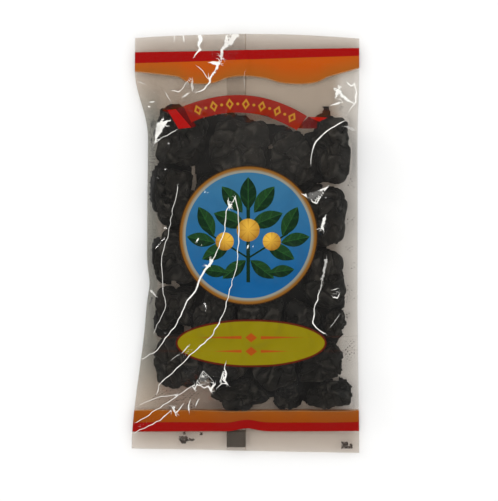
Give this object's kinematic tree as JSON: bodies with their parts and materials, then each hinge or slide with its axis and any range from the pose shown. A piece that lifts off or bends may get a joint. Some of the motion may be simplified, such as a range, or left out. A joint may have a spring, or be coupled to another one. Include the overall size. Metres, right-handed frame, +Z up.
{
  "type": "bag of dried black tamarind",
  "caption": "Sealed clear pillow bag with a back fin seal and pressed end seals, lying flat and filled with loose dried fruit rinds.",
  "frame": {"origin": "middle of the bag's outline, on the surface that its back lies on", "axes": "+Y along the bag to its top seal, +X to the right and +Z up, seen from the printed front"},
  "size_m": [0.133, 0.2446, 0.0274],
  "materials": {
    "film": "clear printed packaging film, glossy and creased",
    "rind": "black, shrivelled, waxy dried rind"
  },
  "bodies": {
    "root": {"film": "film", "rind_01": "rind", "rind_02": "rind", "rind_03": "rind", "rind_04": "rind", "rind_05": "rind", "rind_06": "rind", "rind_07": "rind", "rind_08": "rind", "rind_09": "rind", "rind_10": "rind", "rind_11": "rind", "rind_12": "rind", "rind_13": "rind", "rind_14": "rind", "rind_15": "rind", "rind_16": "rind", "rind_17": "rind", "rind_18": "rind", "rind_19": "rind", "rind_20": "rind", "rind_21": "rind", "rind_22": "rind", "rind_23": "rind", "rind_24": "rind"}
  },
  "joints": []
}
